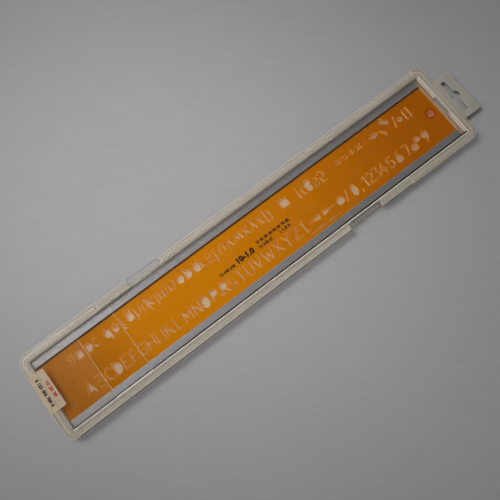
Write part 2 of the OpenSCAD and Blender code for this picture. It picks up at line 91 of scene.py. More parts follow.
class PlateSettings(bpy.types.PropertyGroup):
    edge: length("Slot edge", "How far the edges of the letter slots are eased", 0.00012)
    weld: length("Weld", "Points of the slot outlines nearer than this become one", 0.00006)
    left: colour("Left end", "Colour near the label, where the plate looks brown", (0.42, 0.155, 0.0))
    middle: colour("Middle", "Colour of the sheet in the middle", (0.64, 0.255, 0.0))
    right: colour("Right end", "Colour near the hanging hole", (0.45, 0.140, 0.0))
    # Painted light: the slots' upright walls are made lighter than the sheet.
    walls: colour("Slot walls", "Colour that the slots' walls gather", (0.98, 0.58, 0.16))
    # Painted highlight: the slots' eased edges are made lighter.
    eased: colour("Eased edges", "Colour of the slots' eased edges", (0.95, 0.55, 0.14))
    # Painted glow: the slot walls give off light though the sheet is no lamp, with painted glints where a fine noise is
    # high.
    glow: colour("Edge glow", "Light that the sheet lets out at its cut edges", (0.40, 0.18, 0.022))
    tint: colour("Tint", "Colour of light that has passed the sheet", (1.0, 0.66, 0.20))
    body: share("Body", "How much of the sheet's own colour shows, against what lies under it", 0.74)
    lamp_body: share("Body to lamps", "How much lamp light one face of the sheet holds back", 0.10)
    scratch: colour("Scratches", "Colour of the fine scratches", (0.85, 0.45, 0.03))
    dust: colour("Dust", "Colour of the specks of dust", (0.80, 0.50, 0.16))
    # Painted shadow: a dark strip on the plate along the far rail, where the rail's shadow falls.
    rail_shadow: colour("Dirt", "Colour of the dirt along the far rail", (0.07, 0.022, 0.004))
    # Painted shade: a dark red ring round the hanging hole, reaching past its bevel, stands for the bevel's shading.
    hole: colour("Hole bevel", "Colour of the hanging hole's bevel", (0.38, 0.045, 0.002))
    ink: colour("Ink", "Colour of the printed numbers", (0.03, 0.008, 0.002))


class CaseSettings(bpy.types.PropertyGroup):
    edge: length("Edge", "Rounding of the moulded edges", 0.00042)
    fine_edge: length("Fine edge", "Rounding of the window's low raised field", 0.00007)
    cream: colour("Rim", "Colour of the yellowed rim", (0.57, 0.515, 0.44))
    edge_light: colour("Edge light", "Colour that the edges gather", (0.80, 0.745, 0.645))
    wall_shade: colour("Wall shade", "Colour of the shade in the rim's upright walls", (0.30, 0.235, 0.16))
    clear: colour("Window haze", "Colour of the haze on the clear window", (0.80, 0.78, 0.72))
    # Painted light: the tray floor's peach colour stands for orange light that has passed the plate, with less of it
    # towards both ends of the plate; the floor's haze is real.
    under: colour("Tray floor", "Colour of the haze on the tray's floor", (0.76, 0.57, 0.36))
    under_end: colour("Tray floor's ends", "Colour of that haze towards both ends of the plate", (0.60, 0.38, 0.22))
    film: colour("Label end film", "Colour of the dusty film on the window next to the label", (0.55, 0.31, 0.08))
    # Painted highlight: two fine bright lines across the window, where the edges of a clear strip on it catch the
    # light.
    line: colour("Window lines", "Colour of the two fine lines across the window", (0.95, 0.78, 0.55))
    # Painted light: a red pool of light on the tray's floor beside the hanging hole.
    hole_light: colour("Hole's light", "Red light that the hanging hole's bevel throws on the tray", (0.62, 0.20, 0.11))
    # Painted light: the faces inside the case's right end are made light and more solid, as if lit from the left.
    stop: colour("End stop", "Colour of the lit faces inside the case's right end", (0.96, 0.86, 0.76))
    # Painted shade: a dark line at the foot of the near rim, next to the window.
    groove: colour("Groove", "Colour of the dark line between the window and the near rim", (0.025, 0.02, 0.015))
    # Painted shade: a dark line on the rounded edges round each clear grip tab.
    grip_edge: colour("Grip tab edge", "Colour of the dark line round a clear grip tab", (0.22, 0.215, 0.21))
    scratch: colour("Scratches", "Colour of the fine scratches", (0.95, 0.93, 0.88))
    tint: colour("Tint", "Colour of light that has passed one wall", (0.995, 0.99, 0.98))
    rim_body: share("Rim body", "How solid one wall of the lid's rim looks", 0.42)
    wall_body: share("Wall body", "How solid one wall of the tray looks", 0.50)
    lid_lamp_body: share("Lid to lamps", "How much of its solidity the lid shows to lamp light", 0.32)
    tray_lamp_body: share("Tray to lamps", "How much of its solidity the tray shows to lamp light", 0.42)
    clear_body: share("Window body", "How solid one face of the window looks", 0.0015)
    floor_body: share("Tray floor body", "How solid one face of the tray's floor looks", 0.50)
    ledge_body: share("Tray ledge body", "How solid the tray's floor looks under the rim", 0.02)
    end_shade: share("Shade of the left end", "How much of the wall shade lies on the rim at the label's end", 0.34)


class RailSettings(bpy.types.PropertyGroup):
    edge: length("Edge", "Rounding of the extrusion's edges", 0.00025)
    metal: colour("Metal", "Colour of the satin anodised metal", (0.255, 0.252, 0.272))
    bare: colour("Bare metal", "Colour where an edge is rubbed bright", (0.50, 0.50, 0.50))


class TabSettings(bpy.types.PropertyGroup):
    edge: length("Edge", "Rounding of the tab's edges", 0.0003)
    frost: colour("Frost", "Colour of the frosted sheet", (0.59, 0.555, 0.485))
    # Painted highlight: the tab's rounded edges are made lighter.
    rubbed_and_highlit: colour("Rubbed edges", "Colour of the tab's rounded edges", (0.80, 0.77, 0.70))
    dust: colour("Dust", "Colour of the specks of dirt", (0.30, 0.27, 0.24))
    # Painted shade: the upright walls of the hanging slot are made dark.
    slot: colour("Slot walls", "Colour of the dark walls of the hanging slot", (0.085, 0.07, 0.06))
    mark: colour("Pin marks", "Colour of the rings round the two pin marks", (0.20, 0.16, 0.14))
    tint: colour("Tint", "Colour of light that has passed the tab", (0.97, 0.95, 0.9))
    body: share("Body", "How solid one face of the tab looks", 0.72)


class LabelSettings(bpy.types.PropertyGroup):
    edge: length("Edge", "Rounding of the paper's edges", 0.00005)
    radius: length("Corner radius", "Radius of the paper's corners", 0.0012)
    paper: colour("Paper", "Colour of the aged paper", (0.58, 0.46, 0.31))
    stain: colour("Stain", "Colour of the paper's brown edges", (0.36, 0.25, 0.14))
    fibre: colour("Fibres", "Colour of the paper's pale fibres", (0.86, 0.76, 0.58))
    dust: colour("Dust", "Colour of the specks of dirt", (0.32, 0.22, 0.12))
    tint: colour("Tint", "Colour of light that has passed the paper", (1.0, 0.86, 0.62))
    lamp_body: share("Body to lamps", "How much lamp light the paper holds back", 0.3)
    ink: colour("Ink", "Colour of the printed numbers", (0.03, 0.025, 0.02))
    band: colour("Red ink", "Colour of the second row of numbers", (0.42, 0.03, 0.03))


class StageSettings(bpy.types.PropertyGroup):
    floor: colour("Floor", "Colour of the pale floor", (0.41, 0.402, 0.412))
    floor_size: length("Floor size", "From the floor's middle to its edges", 3.0)
    room: colour("Room", "Colour of the soft light from all round", (0.92, 0.95, 1.0))
    room_strength: share("Room strength", "Brightness of the light from all round", 0.18, 5)
    lamp: colour("Lamps", "Colour of the lamps' light", (1.0, 0.985, 0.96))
    key_watts: power("Key", "Power of the large soft lamp", 1.22)
    fill_watts: power("Fill", "Power of the second lamp", 0.6)
    pool_watts: power("Pool", "Power of the small lamp over the middle", 0.30)
    camera_at: point("Camera", "Where the camera stands", (-0.0725, -0.1105, 0.5146))
    camera_aim: point("Aim", "Point in the middle of the picture", (-0.0055, 0.0, 0.0))
    camera_up: FloatVectorProperty(
        name="Up", description="Direction that is up in the picture", default=(0.5939, 0.7673, 0.2420),
        subtype="DIRECTION")
    lens: FloatProperty(name="Lens", description="Focal length", default=0.04851, min=0.01, unit="CAMERA")


class StencilSettings(bpy.types.PropertyGroup):
    plate: PointerProperty(type=PlateSettings)
    case: PointerProperty(type=CaseSettings)
    rails: PointerProperty(type=RailSettings)
    tab: PointerProperty(type=TabSettings)
    label: PointerProperty(type=LabelSettings)
    stage: PointerProperty(type=StageSettings)


# Places on the object, in metres

RIM_W = 0.0062  # width of the case's raised rim
TRAY_FLOOR_TOP = 0.0015  # just over the tray's floor
LOW_STEP = 0.0004  # a step lower than this takes the fine edge
HANGING_HOLE = Vector(next(m["pos_m"] for m in frame["record"]["mounts"] if m["name"] == "hanging_hole"))
# The slot's walls inside this box take a painted shade.
TAB_SLOT = ((0.2056, 0, 0.0043), (0.0058, 0.0158, 0.0012))  # box round the slot: its middle and its half size
PIN_MARK = (0.2124, 0.0166)  # middle of the far pin mark on the tab; the near one is opposite
PIN_MARK_R = 0.0016

# Where a colour comes in: nothing of it at the first place, all of it at the second
PLATE_LEFT = (0.085, 0.01)  # from the plate's left end
PLATE_RIGHT = (-0.03, 0.02)  # from the object's middle, and from the plate's right end
# Where the painted shadow of the far rail on the plate comes in.
RAIL_SHADOW = (0.0017, 0.0009)  # from the far rail
# Radii of the painted shade ring round the hanging hole.
HOLE_BEVEL = (0.0047, 0.0042)  # radii
# Radii and shift of the painted red light on the tray beside the hanging hole.
HOLE_LIGHT = (0.0036, 0.0012)  # radii
HOLE_LIGHT_SHIFT = Vector((0.0013, 0.0005, 0.0))  # the red light lies a little beside the hole
RIM_SHADE = (-0.04, -0.18)  # along the rim
# Where the painted orange light on the tray's floor weakens towards the plate's ends.
TRAY_LEFT = (-0.110, -0.160)  # along the tray's floor
TRAY_RIGHT = (0.060, 0.160)  # along the tray's floor
PIN_MARK_LINE = (0.00035, 0.0001)  # from the mark's radius

# Printed numbers: name, text, letter size, middle, and how far the strokes are thickened
PLATE_PRINT = (
    ("print_count", "12 345 678", 0.0030, (-0.0300, -0.0034), 0.00020),
    ("print_height", "10-1.0", 0.0062, (-0.0120, -0.0022), 0.00045),
    ("print_upper_row", "10 20 30 40 50 60 70 80", 0.0030, (0.0170, 0.0006), 0.00020),
    ("print_lower_row", "12 345 67", 0.0030, (0.0074, -0.0038), 0.00020),
    ("print_pen", "1 1.0 0", 0.0034, (0.0262, -0.0036), 0.00020),
)
LABEL_PRINT = (
    ("label_count", "0 123 456 789 0", 0.0033, (-0.19305, 0.0040), 0.00024),
    ("label_size", "10 20 30", 0.0037, (-0.1875, 0.0040), 0.00024),
)
LABEL_STEP = 0.0006  # how far the label's second row lies under its first
PRINT_LIFT = 0.00002  # from the printed face to the middle of the ink
INK_HALF = 0.00001  # half the ink's thickness

FLOOR_GAP = 0.0001  # from the case down to the floor
FLOOR_GRAIN = math.radians(-37.4)  # how far the floor's brushed grain is turned

# Lamps: name, place, the point that it aims at, width, and spread in degrees
LAMPS = (
    ("key", (-0.43, 0.53, 0.92), (0.03, 0.06, 0.0), 0.80, 110),
    ("fill", (-0.45, -0.75, 1.05), (-0.02, 0.06, 0.0), 0.9, 120),
    ("pool", (-0.33, 0.48, 0.85), (-0.005, 0.055, 0.0), 0.35, 34),
)


def case_places(high):
    """Boxes round the places on the case that look different: the middle and the half size of each."""
    inner_x, inner_y = high.x - RIM_W, high.y - RIM_W
    return {
        # The two end stops take painted light.
        "far stop": ((inner_x, 0.0198, 0.0070), (0.0003, 0.0112, 0.0029)),
        "near stop": ((inner_x, -0.0212, 0.0070), (0.0003, 0.0108, 0.0029)),
        "window": ((0, 0, 0), (inner_x - 0.0001, inner_y - 0.0001, 1.0)),
        "near grip": ((0.0828, -0.0372, 0.0094), (0.0147, 0.0049, 0.0012)),
        "far grip": ((-0.0828, 0.0372, 0.0094), (0.0147, 0.0049, 0.0012)),
        "film": ((-0.1711, 0, 0.0088), (0.0194, inner_y, 0.0009)),
        # The two window lines take painted highlights.
        "left line": ((-0.1517, 0, 0.0093), (0.0002, inner_y, 0.0006)),
        "right line": ((-0.1193, 0, 0.0093), (0.0002, inner_y, 0.0006)),
        # The groove takes painted shade.
        "groove": ((0, 0.0007 - inner_y, 0.0088), (inner_x - 0.0004, 0.00068, 0.0009)),
        # The lip takes a painted highlight along the near rim's inner edge.
        "lip": ((0, -0.0002 - inner_y, 0.0098), (inner_x, 0.0005, 0.0004)),
        "tray floor": ((0, 0, 0), (1.0, 1.0, TRAY_FLOOR_TOP)),
        "room floor": ((0, 0, 0), (inner_x, inner_y, TRAY_FLOOR_TOP)),
    }


# Meshes

MERGE_ANGLE = math.radians(0.6)  # faces nearer to level with each other than this become one
OUTER_ANGLE = math.radians(35)  # an outer edge sharper than this is rounded
SHARP_ANGLE = math.radians(38)  # an edge sharper than this isn't shaded smooth


def link(obj):
    """Puts a new object in the scene, and stops the script if it is a piece without faces."""
    if obj.type == "MESH" and not obj.data.polygons:
        raise RuntimeError(f"{obj.name} has come out empty")
    bpy.context.scene.collection.objects.link(obj)
    return obj


def is_outer(edge):
    """Whether an edge of a mesh is an outer edge, sharp enough to be rounded."""
    return len(edge.link_faces) == 2 and edge.is_convex and edge.calc_face_angle(0) > OUTER_ANGLE


def is_low(edge):
    """Whether an edge belongs to a low step, which takes the fine edge."""
    walls = [face for face in edge.link_faces if abs(face.normal.z) < 0.5]
    heights = [max(v.co.z for v in wall.verts) - min(v.co.z for v in wall.verts) for wall in walls]
    return any(height < LOW_STEP for height in heights)


def round_corners(bm, radius):
    """Rounds the upright edges at a part's +X end."""
    near_by = 1e-5
    reach = max(v.co.x for v in bm.verts) - near_by
    upright = [
        e for e in bm.edges
        if min(v.co.x for v in e.verts) > reach and abs(e.verts[0].co.z - e.verts[1].co.z) > near_by]
    bmesh.ops.bevel(
        bm, geom=upright, offset=radius, offset_type="OFFSET", segments=5, profile=0.5, affect="EDGES")


def soften(name, node, edge, weld=1e-6, fine=None, segments=2, merge_flats=True, corners=None):
    """A copy of a part of the frame with its outer edges rounded. The rounded faces carry the attribute
    rounded_edge. fine is the rounding of low steps, and corners the radius of the corners at the +X end."""
    bm = bmesh.new()
    bm.from_mesh(frame["nodes"][node].data)
    bmesh.ops.remove_doubles(bm, verts=bm.verts, dist=weld)
    bmesh.ops.dissolve_degenerate(bm, edges=bm.edges, dist=weld)
    if merge_flats:
        bmesh.ops.dissolve_limit(bm, angle_limit=MERGE_ANGLE, verts=bm.verts, edges=bm.edges)
    mark = bm.faces.layers.float.new("rounded_edge")
    if corners:
        round_corners(bm, corners)
    for width, low in ((fine, True), (edge, False)):
        if width is None:
            continue
        bm.normal_update()
        chosen = [e for e in bm.edges if is_outer(e) and (fine is None or is_low(e) == low)]
        made = bmesh.ops.bevel(
            bm, geom=chosen, offset=width, offset_type="OFFSET", segments=segments, profile=0.5,
            affect="EDGES", clamp_overlap=False, miter_outer="SHARP", miter_inner="SHARP")
        for f in made["faces"]:
            f[mark] = 1.0
    bm.normal_update()
    mesh = bpy.data.meshes.new(name)
    bm.to_mesh(mesh)
    bm.free()
    mesh.polygons.foreach_set("use_smooth", [True] * len(mesh.polygons))
    mesh.set_sharp_from_angle(angle=SHARP_ANGLE)
    obj = link(bpy.data.objects.new(name, mesh))
    even = obj.modifiers.new("Even shading", "WEIGHTED_NORMAL")
    even.keep_sharp = True
    return obj


def dress(obj, material, body, slot, *nodes):
    """Gives a piece its material and its body, and hides the parts of the frame that it stands for. slot is not used.
    """
    obj.data.materials.clear()
    obj.data.materials.append(material)
    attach(obj, body)
    if nodes:
        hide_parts(*nodes)
    return obj


def numbers(name, text, size, place, bold, turn=0.0):
    """Plain printed numbers, lying flat, as a thin mesh. bold is how far the strokes are thickened."""
    curve = bpy.data.curves.new(name, "FONT")
    curve.body = text
    curve.size = size
    curve.extrude = INK_HALF
    curve.offset = bold
    curve.align_x = "CENTER"
    curve.align_y = "CENTER"
    curve.resolution_u = 3
    curve.space_character = 1.08
    made = link(bpy.data.objects.new(name + "_text", curve))
    bpy.context.view_layer.update()
    mesh = bpy.data.meshes.new_from_object(made.evaluated_get(bpy.context.evaluated_depsgraph_get()))
    bpy.data.objects.remove(made)
    mesh.transform(Matrix.Translation(place) @ Matrix.Rotation(turn, 4, "Z"))
    mesh.name = name
    return link(bpy.data.objects.new(name, mesh))


# Nodes

def feed(tree, socket, value):
    """Links a socket to another node's output, or sets it to a plain value."""
    if isinstance(value, bpy.types.NodeSocket):
        tree.links.new(value, socket)
    else:
        socket.default_value = value


def new_node(tree, kind, options=None, **values):
    """A node with its options and the values of its inputs, where a value may be another node's output."""
    n = tree.nodes.new(kind)
    for key, value in (options or {}).items():
        setattr(n, key, value)
    for key, value in values.items():
        feed(tree, n.inputs[key.replace("_", " ")], value)
    return n


def maths(tree, operation, a, b=0.0, clamp=False):
    """The result of a Math node."""
    n = new_node(tree, "ShaderNodeMath", {"operation": operation, "use_clamp": clamp})
    feed(tree, n.inputs[0], a)
    feed(tree, n.inputs[1], b)
    return n.outputs[0]


def times(tree, a, b):
    """One value times another."""
    return maths(tree, "MULTIPLY", a, b)


def either(tree, a, b):
    """A mask that is one where either of two masks is."""
    return maths(tree, "MAXIMUM", a, b)


def vector_maths(tree, operation, a, b=(0.0, 0.0, 0.0)):
    """The result of a Vector Math node, which is a number for a distance."""
    n = new_node(tree, "ShaderNodeVectorMath", {"operation": operation})
    feed(tree, n.inputs[0], a)
    feed(tree, n.inputs[1], b)
    return n.outputs["Value"] if operation == "DISTANCE" else n.outputs[0]


def mapped(tree, value, low, high, to_low=0.0, to_high=1.0):
    """A value moved from one range to another, and held inside it."""
    n = new_node(tree, "ShaderNodeMapRange")
    for i, v in enumerate((value, low, high, to_low, to_high)):
        feed(tree, n.inputs[i], v)
    return n.outputs[0]


def noise(tree, place, scale, detail, roughness=0.5):
    """Smooth noise from nought to one."""
    return new_node(
        tree, "ShaderNodeTexNoise", Vector=place, Scale=scale, Detail=detail, Roughness=roughness).outputs[0]


def mix_colours(tree, factor, a, b):
    """The colour between a and b."""
    n = new_node(tree, "ShaderNodeMix", {"data_type": "RGBA"})
    feed(tree, n.inputs[0], factor)
    for socket, shade in ((n.inputs[6], a), (n.inputs[7], b)):
        feed(tree, socket, shade if isinstance(shade, bpy.types.NodeSocket) else (*shade, 1.0))
    return n.outputs[2]


def laid_over(tree, base, shade, mask, most=1.0):
    """A colour with another laid over it where a mask is, at most by a share."""
    return mix_colours(tree, mask if most == 1.0 else times(tree, mask, most), base, shade)


def thickened(tree, solid, mask, amount):
    """A surface made more solid by an amount where a mask is."""
    return maths(tree, "ADD", solid, times(tree, mask, amount))


def scaled(tree, shade, factor):
    """A colour made stronger or weaker by a value."""
    n = new_node(tree, "ShaderNodeVectorMath", {"operation": "SCALE"}, Scale=factor)
    n.inputs[0].default_value = shade
    return n.outputs[0]


def darker(shade, red, green, blue):
    """A colour with each of its parts made weaker."""
    return (shade[0] * red, shade[1] * green, shade[2] * blue)


def split(tree, vector):
    """The three parts of a vector."""
    return new_node(tree, "ShaderNodeSeparateXYZ", Vector=vector).outputs


def bumped(tree, height, strength, distance):
    """A normal from a height."""
    return new_node(tree, "ShaderNodeBump", Height=height, Strength=strength, Distance=distance).outputs[0]


# Masks

def edge_of(tree):
    """The attribute that is one on the rounded edges."""
    return new_node(tree, "ShaderNodeAttribute", {"attribute_name": "rounded_edge"}).outputs["Fac"]


def upright_of(tree):
    """A mask that is one on upright walls and nought on level faces."""
    normal = split(tree, tree.nodes.new("ShaderNodeTexCoord").outputs["Normal"])
    return mapped(tree, maths(tree, "ABSOLUTE", normal[2]), 0.3, 0.05)


def distance_from(tree, x, y, middle):
    """How far a place is from a point, both seen from above."""
    flat = new_node(tree, "ShaderNodeCombineXYZ", X=x, Y=y).outputs[0]
    return vector_maths(tree, "DISTANCE", flat, (middle[0], middle[1], 0.0))


def near_point(tree, axes, middle, radii):
    """A mask that grows from nought at the first distance from a point, seen from above, to one at the second."""
    return mapped(tree, distance_from(tree, axes[0], axes[1], middle), *radii)


def light_rays(tree):
    """One for rays that carry lamp light or light from all round, nought for what the eye sees."""
    path = tree.nodes.new("ShaderNodeLightPath").outputs
    return either(tree, path["Is Shadow Ray"], path["Is Diffuse Ray"])


def by_ray(tree, to_eye, to_light):
    """One value for what the eye sees, and another for light that falls on the surface or passes it."""
    return mapped(tree, light_rays(tree), 0.0, 1.0, to_eye, to_light)


# Effects that more than one material uses

def group_of(name, inputs, outputs):
    """A new shader node group with named inputs and outputs, and its two end nodes."""
    tree = bpy.data.node_groups.new(name, "ShaderNodeTree")
    for label, kind, default in inputs:
        socket = tree.interface.new_socket(label, in_out="INPUT", socket_type=kind)
        if default is not None:
            socket.default_value = default
    for label in outputs:
        tree.interface.new_socket(label, in_out="OUTPUT", socket_type="NodeSocketFloat")
    return tree, tree.nodes.new("NodeGroupInput").outputs, tree.nodes.new("NodeGroupOutput").inputs


def wear_group():
    """Hairline scratches, specks of dust and an uneven tone, for every hard surface."""
    name = "Scratches, dust and tone"
    if name in bpy.data.node_groups:
        return bpy.data.node_groups[name]
    tree, start, end = group_of(name, [
        ("Vector", "NodeSocketVector", None),
        ("Scratch scale", "NodeSocketFloat", 60.0),
        ("Scratch limit", "NodeSocketFloat", 0.66),
        ("Dust scale", "NodeSocketFloat", 500.0),
        ("Dust size", "NodeSocketFloat", 0.12),
        ("Tone scale", "NodeSocketFloat", 14.0),
    ], ["Scratches", "Dust", "Tone"])
    scratches = []
    for angle, stretch, shift in ((0.21, 34.0, 1.7), (-0.62, 27.0, 5.1), (1.33, 30.0, 9.4)):
        turned = new_node(
            tree, "ShaderNodeMapping", {"vector_type": "TEXTURE"}, Vector=start["Vector"],
            Rotation=(0, 0, angle), Scale=(1.0, 1.0 / stretch, 1.0 / stretch),
            Location=(shift, shift * 0.7, shift * 0.3)).outputs[0]
        over = maths(tree, "SUBTRACT", noise(tree, turned, start["Scratch scale"], 2.0, 0.6), start["Scratch limit"])
        scratches.append(maths(tree, "MULTIPLY", over, 26.0, clamp=True))
    tree.links.new(either(tree, either(tree, scratches[0], scratches[1]), scratches[2]), end["Scratches"])
    cells = new_node(
        tree, "ShaderNodeTexVoronoi", {"feature": "F1"}, Vector=start["Vector"], Scale=start["Dust scale"]).outputs
    pick = new_node(tree, "ShaderNodeSeparateColor", Color=cells["Color"]).outputs[0]
    size = times(tree, maths(tree, "POWER", pick, 5.0), start["Dust size"])
    speck = maths(tree, "MULTIPLY", maths(tree, "SUBTRACT", size, cells["Distance"]), 22.0, clamp=True)
    tree.links.new(speck, end["Dust"])
    tree.links.new(noise(tree, start["Vector"], start["Tone scale"], 4.0, 0.55), end["Tone"])
    return tree


def zone_group():
    """A mask that is one inside a box and nought outside it."""
    name = "Inside a box"
    if name in bpy.data.node_groups:
        return bpy.data.node_groups[name]
    tree, start, end = group_of(name, [
        ("Vector", "NodeSocketVector", None),
        ("Middle", "NodeSocketVector", None),
        ("Half size", "NodeSocketVector", None),
    ], ["Mask"])
    away = vector_maths(tree, "ABSOLUTE", vector_maths(tree, "SUBTRACT", start["Vector"], start["Middle"]))
    room = split(tree, vector_maths(tree, "SUBTRACT", start["Half size"], away))
    least = maths(tree, "MINIMUM", maths(tree, "MINIMUM", room[0], room[1]), room[2])
    tree.links.new(maths(tree, "GREATER_THAN", least, 0.0), end["Mask"])
    return tree


def use_group(tree, group, **values):
    """Places a node group in a material, and gives its outputs."""
    return new_node(tree, "ShaderNodeGroup", {"node_tree": group}, **values).outputs


def wear_of(tree, place, scratch_scale, scratch_limit, dust_scale, dust_size, tone_scale):
    """The scratches, the dust and the uneven tone of a surface."""
    return use_group(
        tree, wear_group(), Vector=place, Scratch_scale=scratch_scale, Scratch_limit=scratch_limit,
        Dust_scale=dust_scale, Dust_size=dust_size, Tone_scale=tone_scale)


def inside(tree, place, box):
    """A mask that is one inside a box, given as its middle and its half size."""
    return use_group(tree, zone_group(), Vector=place, Middle=box[0], Half_size=box[1])[0]


# Materials

def new_material(name):
    """An empty material with its tree, its output and the place on the object as a vector."""
    material = bpy.data.materials.new(name)
    material.use_nodes = True
    tree = material.node_tree
    tree.nodes.clear()
    out = tree.nodes.new("ShaderNodeOutputMaterial").inputs[0]
    place = tree.nodes.new("ShaderNodeTexCoord").outputs["Object"]
    return material, tree, out, place


def see_through(tree, out, shader, solid, tint):
    """Lets what lies behind a surface show: solid is the share of the surface itself."""
    clear = new_node(tree, "ShaderNodeBsdfTransparent", Color=(*tint, 1.0)).outputs[0]
    mix = tree.nodes.new("ShaderNodeMixShader")
    for socket, source in zip(mix.inputs, (solid, clear, shader.outputs[0])):
        tree.links.new(source, socket)
    tree.links.new(mix.outputs[0], out)


def plate_material(s):
    """Translucent orange sheet: browner at the label's end, redder at the hole's, with fine scratches. The slot walls
    take painted light, a painted glow and painted glints, the slot edges a painted highlight, the plate along the far
    rail a painted shadow, and the hanging hole a painted dark ring.
    """
    material, tree, out, place = new_material("orange_sheet")
    wear = wear_of(
        tree, place, scratch_scale=34.0, scratch_limit=0.70, dust_scale=420.0, dust_size=0.16, tone_scale=11.0)
    axes = split(tree, place)
    low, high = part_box("stencil_plate")
    uneven = times(tree, maths(tree, "SUBTRACT", wear["Tone"], 0.5), 0.10)
    along = maths(tree, "ADD", axes[0], uneven)
    to_left = mapped(tree, along, low.x + PLATE_LEFT[0], low.x + PLATE_LEFT[1])
    base = mix_colours(tree, to_left, s.middle, s.left)
    base = laid_over(tree, base, s.right, mapped(tree, along, PLATE_RIGHT[0], high.x - PLATE_RIGHT[1]))
    # Painted shade: a dark red ring round the hanging hole.
    base = laid_over(tree, base, s.hole, near_point(tree, axes, HANGING_HOLE, HOLE_BEVEL))
    wall = upright_of(tree)
    # Painted light on the slot walls.
    base = laid_over(tree, base, s.walls, wall)
    base = laid_over(tree, base, s.scratch, wear["Scratches"], 0.05)
    base = laid_over(tree, base, s.dust, wear["Dust"], 0.3)
    # Painted highlight on the eased slot edges.
    base = laid_over(tree, base, s.eased, edge_of(tree), 0.6)
    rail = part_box("upper_rail")[0].y
    # Painted shadow: a dark strip on the plate along the far rail, where the rail's shadow falls.
    rail_shadow = mapped(tree, axes[1], rail - RAIL_SHADOW[0], rail - RAIL_SHADOW[1], 0.0, 0.88)
    base = laid_over(tree, base, s.rail_shadow, rail_shadow)
    # Painted glow and glints: the slot walls give off light, stronger where a fine noise is high.
    lit = times(tree, wall, mapped(tree, noise(tree, place, 420.0, 1.0), 0.46, 0.64, 0.45, 2.4))
    rough = maths(
        tree, "ADD", mapped(tree, wear["Tone"], 0.3, 0.7, 0.14, 0.26), times(tree, wear["Scratches"], 0.3), clamp=True)
    height = maths(tree, "SUBTRACT", times(tree, wear["Tone"], 0.6), times(tree, wear["Scratches"], 0.25))
    shader = new_node(
        tree, "ShaderNodeBsdfPrincipled", Base_Color=base, Roughness=rough, IOR=1.49, Specular_IOR_Level=0.04,
        Emission_Color=scaled(tree, s.glow, lit), Emission_Strength=1.0,
        Normal=bumped(tree, height, strength=0.25, distance=0.0002))
    solid = mapped(tree, wall, 0.0, 1.0, s.body, s.body * 0.8)
    solid = times(tree, solid, by_ray(tree, 1.0, s.lamp_body / s.body))
    see_through(tree, out, shader, solid, s.tint)
    return material


def lid_looks(s, tree, place, places, tone, cream):
    """Colour and solidity of the lid before its wear: clear window and grip tabs in a creamy rim. Also the tabs."""
    def at(name):
        return inside(tree, place, places[name])

    grips = either(tree, at("near grip"), at("far grip"))
    sheet = either(tree, at("window"), grips)
    base = mix_colours(tree, sheet, cream, s.clear)
    solid = mapped(tree, sheet, 0.0, 1.0, s.rim_body, s.clear_body)
    thin, thick = 0.004, 0.045
    film = times(tree, at("film"), mapped(tree, tone, 0.35, 0.65, thin, thick))
    base = laid_over(tree, base, s.film, mapped(tree, film, 0.0, thin))
    solid = maths(tree, "ADD", solid, film)
    # Painted highlights: the two window lines and the lip along the near rim; painted shade: the groove.
    for name, shade, amount in (
        ("left line", s.line, 0.26), ("right line", s.line, 0.26), ("groove", s.groove, 0.80),
        ("lip", s.edge_light, 0.45),
    ):
        mark = at(name)
        base = laid_over(tree, base, shade, mark)
        solid = thickened(tree, solid, mark, amount)
    return base, solid, grips


def tray_looks(s, tree, place, places, axes, cream):
    """Colour and solidity of the tray before its wear: a hazy floor in a creamy wall, the floor tinted with painted
    orange light from the plate and a painted red light by the hanging hole. Also the floor.
    """
    floor = inside(tree, place, places["tray floor"])
    middle = inside(tree, place, places["room floor"])
    base = mix_colours(tree, floor, cream, s.clear)
    ends = either(tree, mapped(tree, axes[0], *TRAY_LEFT), mapped(tree, axes[0], *TRAY_RIGHT, 0.0, 0.6))
    # Painted orange light from the plate on the tray's floor, weaker towards the ends.
    base = laid_over(tree, base, mix_colours(tree, ends, s.under, s.under_end), middle)
    # Painted red light beside the hanging hole.
    base = laid_over(tree, base, s.hole_light, near_point(tree, axes, HANGING_HOLE + HOLE_LIGHT_SHIFT, HOLE_LIGHT))
    solid = mapped(tree, floor, 0.0, 1.0, s.wall_body, s.ledge_body)
    solid = thickened(tree, solid, middle, s.floor_body - s.ledge_body)
    return base, solid, floor


